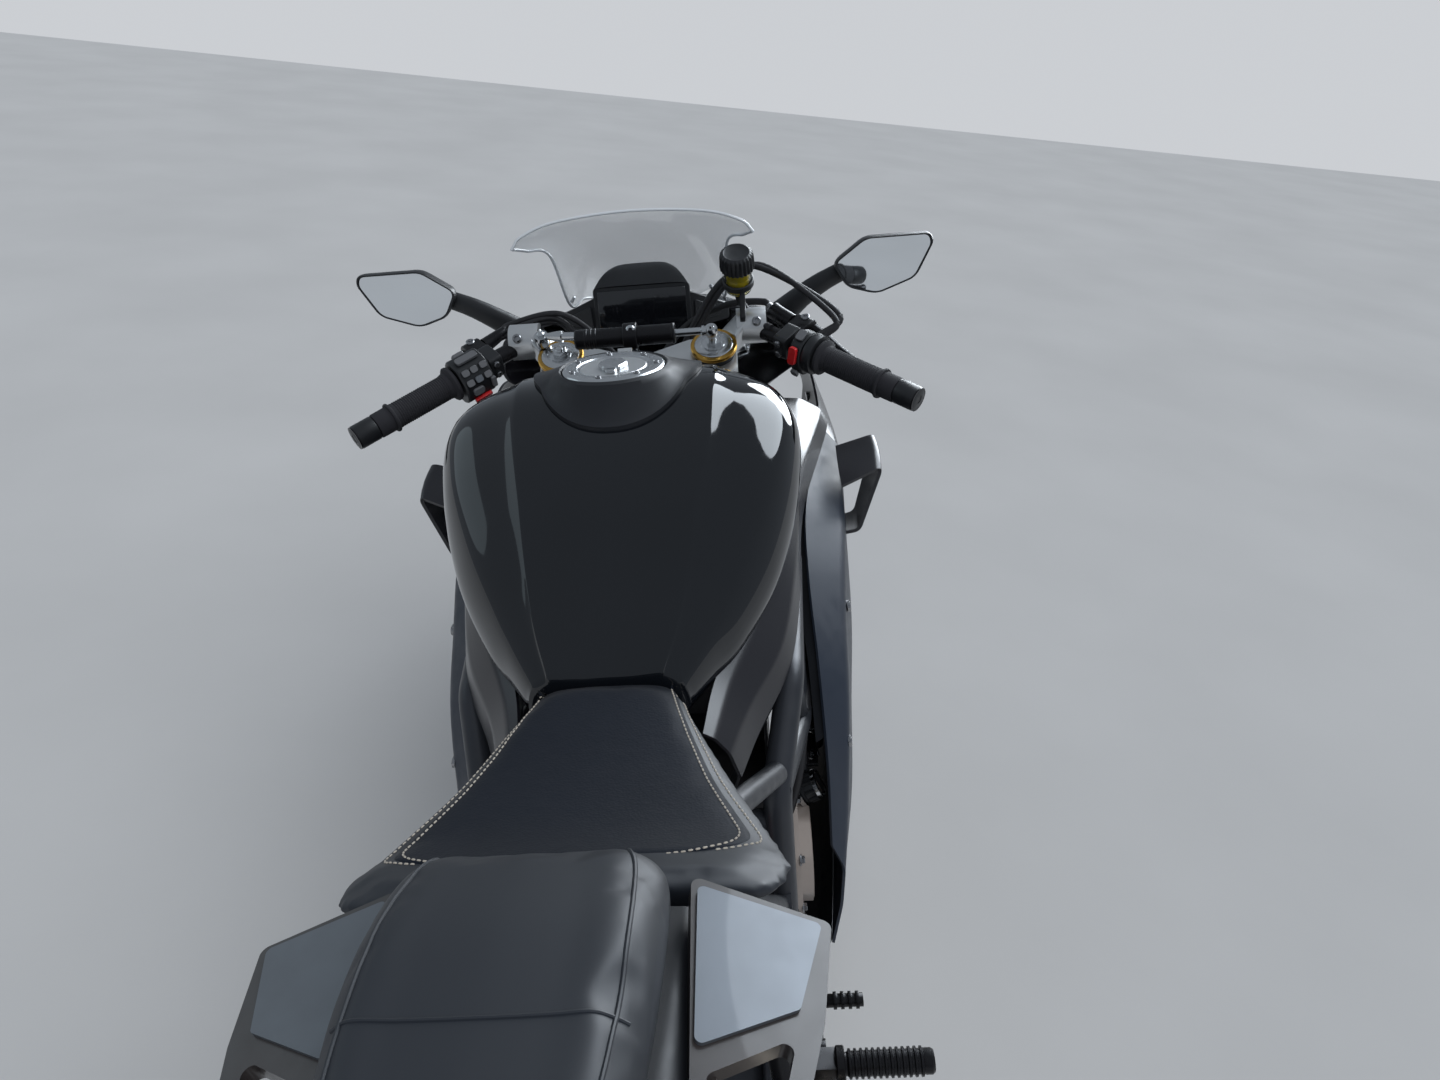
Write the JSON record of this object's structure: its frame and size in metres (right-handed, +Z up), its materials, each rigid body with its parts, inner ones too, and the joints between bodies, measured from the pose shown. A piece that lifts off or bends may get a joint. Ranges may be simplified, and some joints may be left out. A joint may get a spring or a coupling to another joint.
{
  "type": "sport motorcycle",
  "caption": "Sport motorcycle leaning on its side stand, with clip-on bars, a black tank and fairing, a stepped seat and silver trim.",
  "frame": {"origin": "on the floor under the middle of the leaning machine's bounding box", "axes": "+X forward, +Y to the machine's left, +Z up"},
  "size_m": [2.04, 0.8395, 1.1055],
  "materials": {
    "gloss_paint": "gloss black paint",
    "gloss_panel": "gloss black moulded panel",
    "matte_panel": "matte black moulding",
    "blade_panel": "matte dark blue-grey panel",
    "wing_frame": "satin brown-grey frame",
    "wing_silver": "satin silver-grey paint",
    "seat_cover": "black seat cover with fine grain",
    "frame_paint": "satin dark grey paint",
    "engine_metal": "cast and painted dark",
    "cover_metal": "satin bronze-grey cover",
    "radiator_metal": "black radiator core",
    "pipe_steel": "brushed steel",
    "chain_steel": "oiled steel",
    "axle_steel": "turned steel",
    "disc_steel": "brushed steel disc",
    "black_metal": "black anodised or painted metal",
    "cast_silver": "satin cast aluminium",
    "fork_chrome": "polished leg",
    "rim_paint": "satin black cast wheel",
    "tyre_rubber": "black road tyre",
    "grip_rubber": "black ribbed grip",
    "control_plastic": "black switch housings",
    "red_lens": "red lamp lens",
    "clear_screen": "clear screen",
    "lamp_lens": "clear lamp lens",
    "mirror_glass": "mirror glass"
  },
  "bodies": {
    "frame": {"main_frame": "frame_paint", "swingarm": "frame_paint", "rear_axle": "axle_steel", "engine_block": "engine_metal", "engine_covers": "cover_metal", "radiator": "radiator_metal", "fuel_tank": "gloss_paint", "tank_trim": "matte_panel", "tank_covers": "gloss_panel", "rider_seat": "seat_cover", "pillion_seat": "seat_cover", "tail_unit": "matte_panel", "tail_wings": "wing_frame", "wing_faces": "wing_silver", "tail_light": "red_lens", "plate_hanger": "matte_panel", "nose_cowl": "gloss_panel", "windscreen": "clear_screen", "headlights": "lamp_lens", "dash_display": "matte_panel", "side_fairings": "gloss_panel", "side_blades": "blade_panel", "winglets": "gloss_panel", "belly_pan": "matte_panel", "mirror_arms": "matte_panel", "mirror_glasses": "mirror_glass", "exhaust_headers": "pipe_steel", "silencer": "pipe_steel", "silencer_guard": "matte_panel", "footrests": "black_metal", "foot_controls": "black_metal", "drive_chain": "chain_steel", "rear_shock": "black_metal", "rear_caliper": "black_metal", "rear_hugger": "matte_panel"},
    "steering": {"fork_tubes": "black_metal", "fork_legs": "fork_chrome", "fork_feet": "black_metal", "top_clamp": "cast_silver", "lower_clamp": "black_metal", "fork_caps": "cast_silver", "handlebars": "black_metal", "grips": "grip_rubber", "hand_controls": "control_plastic", "brake_reservoir": "control_plastic", "steering_damper": "black_metal", "front_fender": "gloss_panel", "front_calipers": "black_metal", "front_axle": "axle_steel"},
    "front_wheel": {"front_tyre": "tyre_rubber", "front_rim": "rim_paint", "front_discs": "disc_steel"},
    "rear_wheel": {"rear_tyre": "tyre_rubber", "rear_rim": "rim_paint", "rear_disc": "disc_steel", "rear_sprocket": "chain_steel"},
    "side_stand": {"side_stand": "frame_paint"},
    "fuel_lid": {"fuel_lid": "cast_silver"}
  },
  "joints": [
    {"name": "steering_turn", "type": "hinge", "parent": "frame", "child": "steering", "pos_m": [0.44896, -0.03551, 0.80019], "axis": [-0.4147, 0.1549, 0.8967], "range_deg": [-25, 25]},
    {"name": "front_wheel_spin", "type": "hinge", "parent": "steering", "child": "front_wheel", "pos_m": [0.72, -0.12229, 0.29776], "axis": [0, 0.9854, -0.1702], "continuous": true},
    {"name": "rear_wheel_spin", "type": "hinge", "parent": "frame", "child": "rear_wheel", "pos_m": [-0.69, -0.11974, 0.31254], "axis": [0, 0.9854, -0.1702], "continuous": true},
    {"name": "side_stand_fold", "type": "hinge", "parent": "frame", "child": "side_stand", "pos_m": [-0.078, -0.00685, 0.19055], "axis": [0.1173, 0.8972, 0.4257], "range_deg": [0, 104]},
    {"name": "fuel_lid_open", "type": "hinge", "parent": "frame", "child": "fuel_lid", "pos_m": [0.25297, -0.00299, 0.98845], "axis": [0, 0.9854, -0.1702], "range_deg": [0, 80]}
  ]
}
